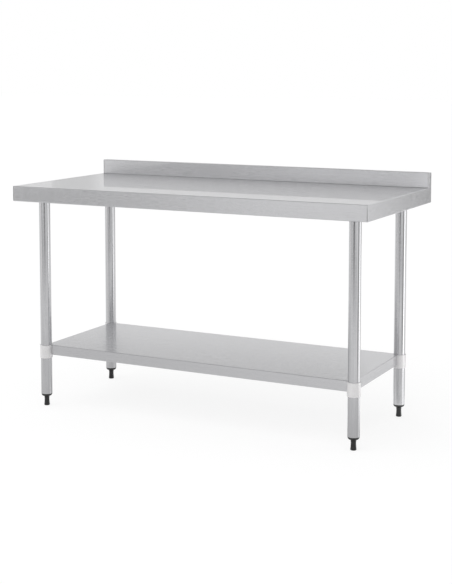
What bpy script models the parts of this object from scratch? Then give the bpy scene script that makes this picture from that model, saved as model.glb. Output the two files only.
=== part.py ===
# Stainless steel work table: a folded worktop with a boxed upstand at the back, four tube legs
# held in sockets under the top, a folded undershelf on cast collars, and screw-adjusted feet.
# Metres, +Z up. X runs along the table, -Y is the front, +Y the wall side with the upstand.
# The origin is on the floor under the middle of the table.
import math

import bmesh
import bpy
from mathutils import Matrix, Vector

# ---------------------------------------------------------------- driving dimensions
TABLE_LENGTH = 1.500
TABLE_DEPTH = 0.700
WORK_HEIGHT = 0.900            # floor to working surface

CLEARANCE = 0.0003             # between faces that seat on or fit in each other

TOP_SHEET = 0.0012             # worktop steel
TOP_APRON = 0.060              # height of the folded-down edge
TOP_RETURN = 0.015             # lip turned in under the apron
TOP_BEND = 0.0025              # outside radius of the worktop's folds
UPSTAND_HEIGHT = 0.060         # above the working surface
UPSTAND_THICKNESS = 0.032

CHANNEL_SHEET = 0.0015         # reinforcing channels under the top and the shelf
CHANNEL_FLANGE = 0.014
CHANNEL_BEND = 0.0022
LEG_CHANNEL_WEB = 0.084        # channels that run front to back over the legs
LEG_CHANNEL_HEIGHT = 0.020
LEG_CHANNEL_END_GAP = 0.018    # from the channel's ends to the apron and to the upstand
LONG_CHANNEL_WEB = 0.060       # channel along the middle of the top
LONG_CHANNEL_HEIGHT = 0.020
SHELF_CHANNEL_WEB = 0.060      # channel along the middle of the shelf
SHELF_CHANNEL_HEIGHT = 0.018
SHELF_CHANNEL_END_GAP = 0.020

LEG_DIAMETER = 0.045
LEG_WALL = 0.0012
LEG_END_INSET = 0.084          # table end to leg axis
LEG_FRONT_INSET = 0.097        # front apron to leg axis
LEG_BACK_INSET = 0.113         # back face to leg axis
LEG_BOTTOM = 0.050             # tube's lower end above the floor

SOCKET_PLATE = 0.072           # side of the square plate welded to the leg channel
SOCKET_PLATE_THICKNESS = 0.003
SOCKET_PLATE_CORNER = 0.008
SOCKET_DEPTH = 0.033           # bore below the plate
SOCKET_WALL = 0.0025

SHELF_HEIGHT = 0.250           # floor to the shelf's surface
SHELF_SHEET = 0.0010
SHELF_APRON = 0.040
SHELF_RETURN = 0.012
SHELF_BEND = 0.0022
FOLD_RELIEF_DIAMETER = 0.0044  # half-round relief where a shelf fold ends at a collar
FOLD_RELIEF_DEPTH = 0.0036

COLLAR_HEIGHT = 0.053
COLLAR_WALL = 0.0022
COLLAR_CHAMFER = 0.0005
EAR_LENGTH = 0.034             # bracket ears behind the shelf's aprons, beyond the ring
EAR_THICKNESS = 0.0032
GUSSET_THICKNESS = 0.0035

SCREW_DIAMETER = 0.008         # hexagon socket grub screws
SCREW_LENGTH = 0.012
SCREW_KEY = 0.004              # width across the flats of the key socket
SCREW_KEY_DEPTH = 0.004
SCREW_CHAMFER = 0.0007
BOSS_DIAMETER = 0.017
BOSS_LENGTH = 0.0095           # beyond the ring or the cup
COLLAR_SCREW_DROP = 0.029      # shelf surface to the screw's axis

INSERT_DEPTH = 0.030           # foot insert inside the tube
INSERT_SKIRT = 0.0026
INSERT_FLOOR = 0.005
INSERT_BOSS_WALL = 0.0024      # round the nut's corners
INSERT_RIB = 0.0018            # thickness of the ribs between skirt and boss
INSERT_RIB_DROP = 0.006        # ribs end this far below the skirt's top
INSERT_LEAD = 0.0012           # tapered entry at the top of the skirt
INSERT_RIM_STEP = 0.0007       # rim inside the tube's outline, on the radius
INSERT_RIM_HEIGHT = 0.0035
INSERT_RIM_ROUND = 0.0008      # of the rim's lower edge
INSERT_BOWL_DROP = 0.0075      # below the rim, down to the foot

NUT_WIDTH = 0.017              # across the flats; moulded into the insert
NUT_HEIGHT = 0.008
NUT_LEVEL = 0.012              # above the tube's lower end

STUD_DIAMETER = 0.010
STUD_CHAMFER = 0.001
STUD_RISE = 0.042              # above the foot's top, with the foot screwed right in
STUD_SEAT = 0.026              # depth moulded into the foot

FOOT_TOP_DIAMETER = 0.0204     # ring at the top of the foot
FOOT_RING_HEIGHT = 0.007
FOOT_RING_TAPER = 0.0012       # height of the slope from the ring to the waist
FOOT_WAIST_DIAMETER = 0.0192
FOOT_BASE_DIAMETER = 0.0228
FOOT_ROUND = 0.003             # radius at the sole
FOOT_GAP = 0.0005              # under the insert, with the foot screwed right in

FOLD_SEGMENTS = 3
LEG_SIDES = 32
CAST_SIDES = 32
SOCKET_SIDES = 28
FOOT_SIDES = 20
SMALL_SIDES = 16
HEXAGON = 6
INSERT_RIB_ANGLES = (45, 135, 225, 315)

SMOOTH_ANGLE = math.radians(35)

# ---------------------------------------------------------------- levels worked out from them
top_inside = WORK_HEIGHT - TOP_SHEET
leg_channel_top = top_inside - CLEARANCE
socket_top = leg_channel_top - LEG_CHANNEL_HEIGHT - CLEARANCE
leg_top = socket_top - SOCKET_PLATE_THICKNESS - CLEARANCE
leg_radius = LEG_DIAMETER / 2
bore_radius = leg_radius + CLEARANCE
collar_radius = bore_radius + COLLAR_WALL
insert_top_of_foot = LEG_BOTTOM - CLEARANCE - INSERT_RIM_HEIGHT - INSERT_BOWL_DROP
foot_height = insert_top_of_foot - FOOT_GAP
screw_radius = SCREW_DIAMETER / 2
stud_radius = STUD_DIAMETER / 2

leg_left = -TABLE_LENGTH / 2 + LEG_END_INSET
leg_right = TABLE_LENGTH / 2 - LEG_END_INSET
leg_front = -TABLE_DEPTH / 2 + LEG_FRONT_INSET
leg_back = TABLE_DEPTH / 2 - LEG_BACK_INSET
shelf_middle = (leg_front + leg_back) / 2

# corner name: leg axis, and the turn about Z that points a bracket's ears at the table's middle
CORNERS = {
    "front_left": (leg_left, leg_front, 0),
    "front_right": (leg_right, leg_front, 90),
    "back_right": (leg_right, leg_back, 180),
    "back_left": (leg_left, leg_back, 270),
}


# ---------------------------------------------------------------- materials
def finish(name, colour, roughness, metallic):
    """A Principled material with one colour."""
    material = bpy.data.materials.new(name)
    material.use_nodes = True
    shader = material.node_tree.nodes["Principled BSDF"]
    shader.inputs["Base Color"].default_value = (*colour, 1)
    shader.inputs["Roughness"].default_value = roughness
    shader.inputs["Metallic"].default_value = metallic
    material.diffuse_color = (*colour, 1)
    return material


def make_finishes():
    """One material for each kind of stock in the table."""
    return {
        "brushed": finish("brushed_stainless", (0.55, 0.55, 0.55), 0.32, 1.0),
        "tube": finish("polished_stainless_tube", (0.52, 0.52, 0.52), 0.24, 1.0),
        "galvanised": finish("galvanised_steel", (0.42, 0.43, 0.44), 0.50, 0.9),
        "cast": finish("cast_aluminium", (0.66, 0.66, 0.66), 0.55, 0.8),
        "zinc": finish("zinc_plated_steel", (0.50, 0.50, 0.47), 0.35, 1.0),
        "plastic": finish("black_plastic", (0.035, 0.035, 0.035), 0.45, 0.0),
    }


# ---------------------------------------------------------------- modelling helpers
def clear_scene():
    for item in list(bpy.data.objects):
        bpy.data.objects.remove(item, do_unlink=True)


def link(name, mesh):
    item = bpy.data.objects.new(name, mesh)
    bpy.context.scene.collection.objects.link(item)
    return item


def mesh_from(name, verts, edges, faces):
    mesh = bpy.data.meshes.new(name)
    mesh.from_pydata(verts, edges, faces)
    return mesh


def settled(item, *helpers):
    """The object's mesh with its modifiers applied; the object and its helpers go."""
    depsgraph = bpy.context.evaluated_depsgraph_get()
    mesh = bpy.data.meshes.new_from_object(item.evaluated_get(depsgraph))
    for used in (item, *helpers):
        bpy.data.objects.remove(used, do_unlink=True)
    mesh.shade_smooth()
    mesh.set_sharp_from_angle(angle=SMOOTH_ANGLE)
    return mesh


def boolean(item, helper, operation):
    step = item.modifiers.new(operation.lower(), "BOOLEAN")
    step.operation = operation
    step.solver = "EXACT"
    step.object = helper
    helper.hide_render = True
    helper.display_type = "WIRE"


def extruded(name, outline, low, high):
    """A prism over a closed outline of (x, y) points, anticlockwise from above."""
    shape = bmesh.new()
    floor = [shape.verts.new((x, y, low)) for x, y in outline]
    face = shape.faces.new(floor)
    risen = bmesh.ops.extrude_face_region(shape, geom=[face])["geom"]
    lifted = [part for part in risen if isinstance(part, bmesh.types.BMVert)]
    bmesh.ops.translate(shape, verts=lifted, vec=(0, 0, high - low))
    bmesh.ops.recalc_face_normals(shape, faces=shape.faces)
    mesh = bpy.data.meshes.new(name)
    shape.to_mesh(mesh)
    shape.free()
    return link(name, mesh)


def turned(name, profile, sides, closed=False):
    """A turned solid: (radius, z) points down the outer side, closed=True where it has a bore."""
    verts = [(radius, 0, z) for radius, z in profile]
    edges = [(i, i + 1) for i in range(len(profile) - 1)]
    if closed:
        edges.append((len(profile) - 1, 0))
    item = link(name, mesh_from(name, verts, edges, []))
    lathe = item.modifiers.new("lathe", "SCREW")
    lathe.steps = sides
    lathe.render_steps = sides
    lathe.use_merge_vertices = True
    lathe.merge_threshold = 0.00001
    lathe.use_normal_calculate = False
    return item


def arc(centre_r, centre_z, radius, start, end, steps):
    """Points of a circular arc in the (radius, z) plane, angles in degrees."""
    angles = [math.radians(start + (end - start) * i / steps) for i in range(steps + 1)]
    return [(centre_r + radius * math.cos(a), centre_z + radius * math.sin(a)) for a in angles]


def rounded_square(side, corner, steps=3):
    """Outline of a square with round corners, centred on the axis, anticlockwise."""
    reach = side / 2 - corner
    outline = []
    for turn, (sx, sy) in enumerate(((1, 1), (-1, 1), (-1, -1), (1, -1))):
        outline += arc(sx * reach, sy * reach, corner, 90 * turn, 90 * turn + 90, steps)
    return outline


def hexagon(width):
    """Outline of a hexagon from its width across the flats."""
    corners = [math.radians(60 * i) for i in range(HEXAGON)]
    reach = width / math.sqrt(3)
    return [(reach * math.cos(a), reach * math.sin(a)) for a in corners]


def radial_rod(name, radius, start, end, z, sides):
    """A round bar along the diagonal (1, 1), from start to end, measured from the leg's axis."""
    item = turned(name, [(0, end), (radius, end), (radius, start), (0, start)], sides)
    mesh = settled(item)
    mesh.transform(Matrix.Translation((0, 0, z)) @ diagonal_turn())
    return link(name, mesh)


def diagonal_turn():
    """Turns +Z to the horizontal diagonal (1, 1)."""
    return Vector((0, 0, 1)).rotation_difference(Vector((1, 1, 0))).to_matrix().to_4x4()


def folded_sheet(item, bend, sheet):
    """Rounds the folds of an open surface and gives it its thickness inwards."""
    folds = item.modifiers.new("folds", "BEVEL")
    folds.limit_method = "ANGLE"
    folds.angle_limit = math.radians(30)
    folds.offset_type = "OFFSET"
    folds.width = bend
    folds.segments = FOLD_SEGMENTS
    steel = item.modifiers.new("steel", "SOLIDIFY")
    steel.thickness = sheet
    steel.offset = -1
    steel.use_even_offset = True


def open_tray(name, outline, half_length, lip):
    """Surface of a tray whose (y, z) outline runs along X, open below inside a lip all round.
    The outline's first and last points are the lower corners."""
    shape = bmesh.new()
    end = [shape.verts.new((-half_length, y, z)) for y, z in outline]
    face = shape.faces.new(end)
    moved = bmesh.ops.extrude_face_region(shape, geom=[face])["geom"]
    far = [part for part in moved if isinstance(part, bmesh.types.BMVert)]
    bmesh.ops.translate(shape, verts=far, vec=(2 * half_length, 0, 0))
    bmesh.ops.recalc_face_normals(shape, faces=shape.faces)
    shape.faces.ensure_lookup_table()
    below = min(shape.faces, key=lambda side: side.calc_center_median().z)
    bmesh.ops.inset_region(shape, faces=[below], thickness=lip, use_even_offset=True)
    bmesh.ops.delete(shape, geom=[below], context="FACES_ONLY")
    mesh = bpy.data.meshes.new(name)
    shape.to_mesh(mesh)
    shape.free()
    return link(name, mesh)


def place(name, mesh, material, location=(0, 0, 0), turn=0, parent=None):
    """A finished node at a world place, turned about Z by whole degrees."""
    item = link(name, mesh)
    item.data.materials.clear()
    item.data.materials.append(material)
    where = Vector(location)
    if parent:
        item.parent = parent
        where -= parent.location
    item.location = where
    item.rotation_euler = (0, 0, math.radians(turn))
    return item


def joint_empty(name, location):
    """An empty on the axis that its children slide along."""
    item = bpy.data.objects.new(name, None)
    item.empty_display_size = 0.05
    item.location = location
    bpy.context.scene.collection.objects.link(item)
    return item


# ---------------------------------------------------------------- worktop
def worktop_mesh():
    """Working surface, aprons and boxed upstand, folded from one sheet and welded at the ends."""
    front = -TABLE_DEPTH / 2
    back = TABLE_DEPTH / 2
    outline = [
        (front, WORK_HEIGHT - TOP_APRON),
        (front, WORK_HEIGHT),
        (back - UPSTAND_THICKNESS, WORK_HEIGHT),
        (back - UPSTAND_THICKNESS, WORK_HEIGHT + UPSTAND_HEIGHT),
        (back, WORK_HEIGHT + UPSTAND_HEIGHT),
        (back, WORK_HEIGHT - TOP_APRON),
    ]
    shell = open_tray("worktop_shell", outline, TABLE_LENGTH / 2, TOP_RETURN)
    folded_sheet(shell, TOP_BEND, TOP_SHEET)
    return settled(shell)


def hat_channel_mesh(name, length, web, height):
    """A hat section along X, its top flanges at z = 0 and its web hanging below."""
    half_web = web / 2
    half_width = half_web + CHANNEL_FLANGE
    under_flange = -CHANNEL_SHEET
    section = [
        (-half_width, under_flange),
        (-half_web, under_flange),
        (-half_web, -height),
        (half_web, -height),
        (half_web, under_flange),
        (half_width, under_flange),
    ]
    verts = [(x, y, z) for x in (-length / 2, length / 2) for y, z in section]
    count = len(section)
    faces = [(i, i + 1, i + count + 1, i + count) for i in range(count - 1)]
    surface = link(name, mesh_from(name, verts, [], faces))
    folded_sheet(surface, CHANNEL_BEND, CHANNEL_SHEET)
    return settled(surface)


def add_top(finishes):
    place("worktop", worktop_mesh(), finishes["brushed"])
    reach_front = -TABLE_DEPTH / 2 + TOP_SHEET + LEG_CHANNEL_END_GAP
    reach_back = TABLE_DEPTH / 2 - UPSTAND_THICKNESS - LEG_CHANNEL_END_GAP
    cross = hat_channel_mesh("leg_channel", reach_back - reach_front, LEG_CHANNEL_WEB, LEG_CHANNEL_HEIGHT)
    middle = (reach_front + reach_back) / 2
    for side, x in (("left", leg_left), ("right", leg_right)):
        where = (x, middle, leg_channel_top)
        place(f"leg_channel_{side}", cross, finishes["galvanised"], where, 90)
    cross_half = LEG_CHANNEL_WEB / 2 + CHANNEL_FLANGE
    length = leg_right - leg_left - 2 * (cross_half + CLEARANCE)
    along = hat_channel_mesh("long_channel", length, LONG_CHANNEL_WEB, LONG_CHANNEL_HEIGHT)
    place("long_channel", along, finishes["galvanised"], (0, middle, leg_channel_top))


# ---------------------------------------------------------------- legs and their sockets
def screw_mesh():
    """Grub screw along Z: key socket at the top, flat chamfered point at z = 0."""
    chamfered = screw_radius - SCREW_CHAMFER
    body = turned("grub_screw", [
        (0, SCREW_LENGTH),
        (chamfered, SCREW_LENGTH),
        (screw_radius, SCREW_LENGTH - SCREW_CHAMFER),
        (screw_radius, SCREW_CHAMFER),
        (chamfered, 0),
        (0, 0),
    ], SMALL_SIDES)
    key_low = SCREW_LENGTH - SCREW_KEY_DEPTH
    key_high = SCREW_LENGTH + SCREW_KEY_DEPTH
    key = extruded("key_socket", hexagon(SCREW_KEY), key_low, key_high)
    boolean(body, key, "DIFFERENCE")
    mesh = settled(body, key)
    mesh.transform(Matrix.Translation((0, 0, leg_radius + CLEARANCE)))
    mesh.transform(diagonal_turn())
    return mesh


def socket_mesh():
    """Cup for the leg's top under a square plate, with a boss for its grub screw; plate top at z = 0."""
    outer = bore_radius + SOCKET_WALL
    under_plate = -SOCKET_PLATE_THICKNESS
    bottom = under_plate - SOCKET_DEPTH
    outline = rounded_square(SOCKET_PLATE, SOCKET_PLATE_CORNER)
    plate = extruded("leg_socket", outline, under_plate, 0)
    lap = under_plate / 2
    cup = turned("cup", [(0, lap), (outer, lap), (outer, bottom), (0, bottom)], SOCKET_SIDES)
    screw_level = under_plate - SOCKET_DEPTH / 2
    boss = radial_rod("boss", BOSS_DIAMETER / 2, leg_radius, outer + BOSS_LENGTH, screw_level, SMALL_SIDES)
    below = bottom - CLEARANCE
    bore = turned("bore", [(0, under_plate), (bore_radius, under_plate), (bore_radius, below), (0, below)],
                  SOCKET_SIDES)
    tapped = radial_rod("tapped_hole", screw_radius + CLEARANCE, leg_radius / 2, outer + 2 * BOSS_LENGTH,
                        screw_level, SMALL_SIDES)
    boolean(plate, cup, "UNION")
    boolean(plate, boss, "UNION")
    boolean(plate, bore, "DIFFERENCE")
    boolean(plate, tapped, "DIFFERENCE")
    return settled(plate, cup, boss, bore, tapped)


def leg_mesh():
    """Round tube from its lower end at z = 0."""
    length = leg_top - LEG_BOTTOM
    inside = leg_radius - LEG_WALL
    profile = [(leg_radius, length), (leg_radius, 0), (inside, 0), (inside, length)]
    return settled(turned("leg", profile, LEG_SIDES, closed=True))


def add_legs(finishes):
    socket = socket_mesh()
    screw = screw_mesh()
    leg = leg_mesh()
    screw_level = socket_top - SOCKET_PLATE_THICKNESS - SOCKET_DEPTH / 2
    for corner, (x, y, turn) in CORNERS.items():
        place(f"leg_socket_{corner}", socket, finishes["galvanised"], (x, y, socket_top), turn)
        place(f"socket_screw_{corner}", screw, finishes["zinc"], (x, y, screw_level), turn)
        place(f"leg_{corner}", leg, finishes["tube"], (x, y, LEG_BOTTOM))


# ---------------------------------------------------------------- undershelf
def shelf_mesh():
    """Folded tray with its outline through the leg axes and a round notch for each collar."""
    outline = [
        (leg_front, SHELF_HEIGHT - SHELF_APRON),
        (leg_front, SHELF_HEIGHT),
        (leg_back, SHELF_HEIGHT),
        (leg_back, SHELF_HEIGHT - SHELF_APRON),
    ]
    tray = open_tray("undershelf", outline, (leg_right - leg_left) / 2, SHELF_RETURN)
    folded_sheet(tray, SHELF_BEND, SHELF_SHEET)
    notch = collar_radius + CLEARANCE
    relief = FOLD_RELIEF_DIAMETER / 2
    cutters = []
    for x, y, turn in CORNERS.values():
        along = math.radians(turn)
        cutters.append(shelf_cutter("notch", notch, SHELF_APRON + CLEARANCE, x, y, CAST_SIDES))
        for angle in (along, along + math.pi / 2):
            fold_x = x + notch * math.cos(angle)
            fold_y = y + notch * math.sin(angle)
            cutters.append(shelf_cutter("relief", relief, FOLD_RELIEF_DEPTH, fold_x, fold_y, SMALL_SIDES))
    for cutter in cutters:
        boolean(tray, cutter, "DIFFERENCE")
    return settled(tray, *cutters)


def shelf_cutter(name, radius, depth, x, y, sides):
    """Round cutter down through the shelf's surface to a depth below it."""
    high = SHELF_HEIGHT + CLEARANCE
    low = SHELF_HEIGHT - depth
    cutter = turned(name, [(0, high), (radius, high), (radius, low), (0, low)], sides)
    cutter.location = (x, y, 0)
    return cutter


def collar_mesh():
    """Cast corner bracket: a ring round the leg, two ears inside the shelf's aprons, a gusset
    under its surface and a boss for the grub screw. Shelf surface at z = 0."""
    chamfer = COLLAR_CHAMFER
    ring = turned("shelf_collar", [
        (bore_radius, 0),
        (collar_radius - chamfer, 0),
        (collar_radius, -chamfer),
        (collar_radius, chamfer - COLLAR_HEIGHT),
        (collar_radius - chamfer, -COLLAR_HEIGHT),
        (bore_radius, -COLLAR_HEIGHT),
    ], CAST_SIDES, closed=True)
    inside = SHELF_SHEET + CLEARANCE
    ear_back = inside + EAR_THICKNESS
    root = bore_radius + COLLAR_WALL / 2
    reach = collar_radius + EAR_LENGTH
    ear_high = -SHELF_BEND - CLEARANCE
    ear_low = SHELF_BEND + CLEARANCE - SHELF_APRON
    ears = [
        extruded("ear_x", [(root, inside), (reach, inside), (reach, ear_back), (root, ear_back)],
                 ear_low, ear_high),
        extruded("ear_y", [(inside, root), (ear_back, root), (ear_back, reach), (inside, reach)],
                 ear_low, ear_high),
    ]
    web = (inside + ear_back) / 2
    deep = root / math.sqrt(2)
    gusset = extruded("gusset", [(root, web), (reach, web), (web, reach), (web, root), (deep, deep)],
                      -inside - GUSSET_THICKNESS, -inside)
    boss_end = collar_radius + BOSS_LENGTH
    boss = radial_rod("boss", BOSS_DIAMETER / 2, root, boss_end, -COLLAR_SCREW_DROP, SMALL_SIDES)
    tapped = radial_rod("tapped_hole", screw_radius + CLEARANCE, leg_radius / 2, boss_end + BOSS_LENGTH,
                        -COLLAR_SCREW_DROP, SMALL_SIDES)
    bore = turned("bore", [(0, CLEARANCE), (bore_radius, CLEARANCE), (bore_radius, -2 * COLLAR_HEIGHT),
                           (0, -2 * COLLAR_HEIGHT)], CAST_SIDES)
    for part in (*ears, gusset, boss):
        boolean(ring, part, "UNION")
    boolean(ring, bore, "DIFFERENCE")
    boolean(ring, tapped, "DIFFERENCE")
    return settled(ring, *ears, gusset, boss, bore, tapped)


def add_shelf(finishes):
    slide = joint_empty("shelf_slide", (leg_left, leg_front, SHELF_HEIGHT))
    place("undershelf", shelf_mesh(), finishes["brushed"], parent=slide)
    length = leg_right - leg_left - 2 * (SHELF_SHEET + SHELF_CHANNEL_END_GAP)
    channel = hat_channel_mesh("shelf_channel", length, SHELF_CHANNEL_WEB, SHELF_CHANNEL_HEIGHT)
    level = SHELF_HEIGHT - SHELF_SHEET - CLEARANCE
    place("shelf_channel", channel, finishes["galvanised"], (0, shelf_middle, level), parent=slide)
    collar = collar_mesh()
    screw = screw_mesh()
    for corner, (x, y, turn) in CORNERS.items():
        place(f"shelf_collar_{corner}", collar, finishes["cast"], (x, y, SHELF_HEIGHT), turn, slide)
        where = (x, y, SHELF_HEIGHT - COLLAR_SCREW_DROP)
        place(f"collar_screw_{corner}", screw, finishes["zinc"], where, turn, slide)


# ---------------------------------------------------------------- feet
def nut_mesh():
    """Plain hexagon nut, its lower face at z = 0."""
    nut = extruded("foot_nut", hexagon(NUT_WIDTH), 0, NUT_HEIGHT)
    hole = stud_radius + CLEARANCE
    high = 2 * NUT_HEIGHT
    low = -NUT_HEIGHT
    thread = turned("thread_hole", [(0, high), (hole, high), (hole, low), (0, low)], SMALL_SIDES)
    boolean(nut, thread, "DIFFERENCE")
    return settled(nut, thread)


def insert_mesh():
    """Moulded plug in the tube's lower end: skirt, floor, a boss round the nut, and below the tube
    a rim and a full bowl down to the foot's top. The tube's end seats at z = CLEARANCE."""
    skirt = leg_radius - LEG_WALL - CLEARANCE
    pocket = skirt - INSERT_SKIRT
    nut_space = NUT_WIDTH + 2 * CLEARANCE
    boss = nut_space / math.sqrt(3) + INSERT_BOSS_WALL
    bore = stud_radius + CLEARANCE
    rim = leg_radius - INSERT_RIM_STEP
    rim_low = -INSERT_RIM_HEIGHT
    foot_top = FOOT_TOP_DIAMETER / 2
    bottom = rim_low - INSERT_BOWL_DROP
    bowl = rim - INSERT_RIM_ROUND
    profile = [
        (skirt - INSERT_LEAD, INSERT_DEPTH),
        (skirt, INSERT_DEPTH - 2 * INSERT_LEAD),
        (skirt, 0),
        (rim, 0),
        *arc(bowl, rim_low + INSERT_RIM_ROUND, INSERT_RIM_ROUND, 0, -90, 2),
        *bowl_curve(bowl, rim_low, foot_top, bottom, 4),
        (bore, bottom),
        (bore, INSERT_DEPTH),
        (boss, INSERT_DEPTH),
        (boss, INSERT_FLOOR),
        (pocket, INSERT_FLOOR),
        (pocket, INSERT_DEPTH),
    ]
    insert = turned("foot_insert", profile, FOOT_SIDES, closed=True)
    near = boss - INSERT_BOSS_WALL / 2
    far = pocket + INSERT_SKIRT / 2
    rib_low = INSERT_FLOOR / 2
    rib_high = INSERT_DEPTH - INSERT_RIB_DROP
    ribs = [insert_rib(near, far, rib_low, rib_high, angle) for angle in INSERT_RIB_ANGLES]
    nut_low = NUT_LEVEL - CLEARANCE
    space = extruded("nut_space", hexagon(nut_space), nut_low, nut_low + NUT_HEIGHT + 2 * CLEARANCE)
    for rib in ribs:
        boolean(insert, rib, "UNION")
    boolean(insert, space, "DIFFERENCE")
    return settled(insert, *ribs, space)


def insert_rib(near, far, low, high, angle):
    """Upright rib from the insert's boss to its skirt, turned about the axis by an angle in degrees."""
    half = INSERT_RIB / 2
    rib = extruded("rib", [(near, -half), (far, -half), (far, half), (near, half)], low, high)
    rib.data.transform(Matrix.Rotation(math.radians(angle), 4, "Z"))
    return rib


def bowl_curve(wide, high, narrow, low, steps):
    """A quarter of an ellipse, upright at the rim and level where it reaches the foot."""
    turns = [math.radians(90 * i / steps) for i in range(1, steps + 1)]
    return [(narrow + (wide - narrow) * math.cos(a), high - (high - low) * math.sin(a))
            for a in turns]


def foot_mesh():
    """Screw-in foot: a ring, a waist that flares to a round-edged sole at z = 0, and a blind hole
    from above for its stud."""
    ring = FOOT_TOP_DIAMETER / 2
    base = FOOT_BASE_DIAMETER / 2
    hole = stud_radius + CLEARANCE
    hole_bottom = foot_height - STUD_SEAT - CLEARANCE
    ring_low = foot_height - FOOT_RING_HEIGHT
    profile = [
        (0, hole_bottom),
        (hole, hole_bottom),
        (hole, foot_height),
        (ring, foot_height),
        (ring, ring_low),
        (FOOT_WAIST_DIAMETER / 2, ring_low - FOOT_RING_TAPER),
        *arc(base - FOOT_ROUND, FOOT_ROUND, FOOT_ROUND, 0, -90, 3),
        (0, 0),
    ]
    return settled(turned("foot", profile, FOOT_SIDES))


def stud_mesh():
    """Threaded stud moulded into the foot, standing up in the insert; foot's sole at z = 0."""
    low = foot_height - STUD_SEAT
    high = foot_height + STUD_RISE
    thin = stud_radius - STUD_CHAMFER
    profile = [
        (0, high),
        (thin, high),
        (stud_radius, high - STUD_CHAMFER),
        (stud_radius, low),
        (0, low),
    ]
    return settled(turned("foot_stud", profile, SMALL_SIDES))


def add_feet(finishes):
    insert = insert_mesh()
    nut = nut_mesh()
    foot = foot_mesh()
    stud = stud_mesh()
    for corner, (x, y, _) in CORNERS.items():
        place(f"foot_insert_{corner}", insert, finishes["plastic"], (x, y, LEG_BOTTOM - CLEARANCE))
        place(f"foot_nut_{corner}", nut, finishes["zinc"], (x, y, LEG_BOTTOM - CLEARANCE + NUT_LEVEL))
        slide = joint_empty(f"foot_slide_{corner}", (x, y, 0))
        place(f"foot_{corner}", foot, finishes["plastic"], (x, y, 0), parent=slide)
        place(f"foot_stud_{corner}", stud, finishes["zinc"], (x, y, 0), parent=slide)


def build():
    clear_scene()
    finishes = make_finishes()
    add_top(finishes)
    add_legs(finishes)
    add_shelf(finishes)
    add_feet(finishes)


build()
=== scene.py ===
import math

import bmesh
import bpy
import numpy as np
from mathutils import Matrix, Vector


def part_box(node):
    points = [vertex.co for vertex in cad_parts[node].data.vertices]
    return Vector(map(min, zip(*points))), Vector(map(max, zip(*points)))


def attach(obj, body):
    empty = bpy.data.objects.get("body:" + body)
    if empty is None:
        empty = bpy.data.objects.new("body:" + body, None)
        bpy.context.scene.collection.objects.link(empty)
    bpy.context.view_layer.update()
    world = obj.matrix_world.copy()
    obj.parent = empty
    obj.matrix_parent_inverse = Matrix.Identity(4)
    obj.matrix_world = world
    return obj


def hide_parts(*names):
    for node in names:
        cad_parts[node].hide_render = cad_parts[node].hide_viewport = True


# Looks of the stainless work table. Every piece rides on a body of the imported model, in metres:
# X runs along the table, -Y is the front and +Y the upstand's side.
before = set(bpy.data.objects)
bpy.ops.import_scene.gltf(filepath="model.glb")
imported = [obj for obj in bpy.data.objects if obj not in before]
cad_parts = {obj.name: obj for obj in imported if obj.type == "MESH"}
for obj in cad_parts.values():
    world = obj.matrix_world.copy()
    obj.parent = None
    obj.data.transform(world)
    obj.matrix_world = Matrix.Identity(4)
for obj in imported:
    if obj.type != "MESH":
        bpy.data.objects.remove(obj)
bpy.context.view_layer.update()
print("frame loaded,", len(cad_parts), "nodes")

# each corner's turn about Z, which points its bracket's ears at the table's middle
cornerTurns = {"front_left": 0, "front_right": 90, "back_right": 180, "back_left": 270}


# half way between a node's lowest and highest corners
def middleOf(node):
    low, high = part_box(node)
    return np.array((low + high) / 2)


legAxes = {corner: middleOf(f"leg_{corner}") * (1, 1, 0) for corner in cornerTurns}


# An output of a node, or with no socket only its tree. Arithmetic on it adds Math nodes.
class Signal:
    def __init__(self, tree, socket=None):
        self.tree = tree
        self.socket = socket

    # any node: its type, the values or links of its inputs, and its settings
    def node(self, kind, inputs=None, settings=None, output=0):
        made = self.tree.nodes.new("ShaderNode" + kind)
        for name, value in (settings or {}).items():
            setattr(made, name, value)
        for name, value in (inputs or {}).items():
            if isinstance(value, Signal):
                self.tree.links.new(value.socket, made.inputs[name])
            else:
                made.inputs[name].default_value = value
        return Signal(self.tree, made.outputs[output]) if made.outputs else None

    def maths(self, operation, first, second=0.0):
        return self.node("Math", {0: first, 1: second}, {"operation": operation})

    def __add__(self, other):
        return self.maths("ADD", self, other)

    def __sub__(self, other):
        return self.maths("SUBTRACT", self, other)

    def __mul__(self, other):
        return self.maths("MULTIPLY", self, other)

    def __rsub__(self, other):
        return self.maths("SUBTRACT", other, self)

    __radd__ = __add__
    __rmul__ = __mul__

    # its distance from 0
    def size(self):
        return self.maths("ABSOLUTE", self)

    # an S curve from 0 at low to 1 at high
    def rise(self, low, high):
        limits = {"Value": self, "From Min": low, "From Max": high}
        return self.node("MapRange", limits, {"interpolation_type": "SMOOTHSTEP"})


# an opaque grey
def grey(level):
    return (level, level, level, 1.0)


# first where the factor is 0, second where it is 1
def mixedColour(factor, first, second):
    return factor.node("Mix", {0: factor, 6: first, 7: second}, {"data_type": "RGBA"}, 2)


# the same for vectors
def mixedVector(factor, first, second):
    return factor.node("Mix", {0: factor, 4: first, 5: second}, {"data_type": "VECTOR"}, 1)


# a vector of three signals
def vector(x, y, z):
    return x.node("CombineXYZ", {"X": x, "Y": y, "Z": z})


# a vector's x, y and z
def axes(place):
    split = place.node("SeparateXYZ", {0: place})
    return [Signal(place.tree, split.socket.node.outputs[axis]) for axis in "XYZ"]


# the object's own x, y and z, which are the table's
def ownCoordinates(graph):
    return axes(graph.node("TexCoord", output="Object"))


# smooth noise from 0 to 1, mostly near a half, over a place times a scale
def noise(where, scale=1.0, detail=2.0, roughness=0.5):
    return where.node("TexNoise", {"Vector": where, "Scale": scale, "Detail": detail,
                                   "Roughness": roughness})


# a normal tilted by a height times a distance in metres
def bump(height, strength, distance):
    return height.node("Bump", {"Height": height, "Strength": strength, "Distance": distance})


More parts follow.
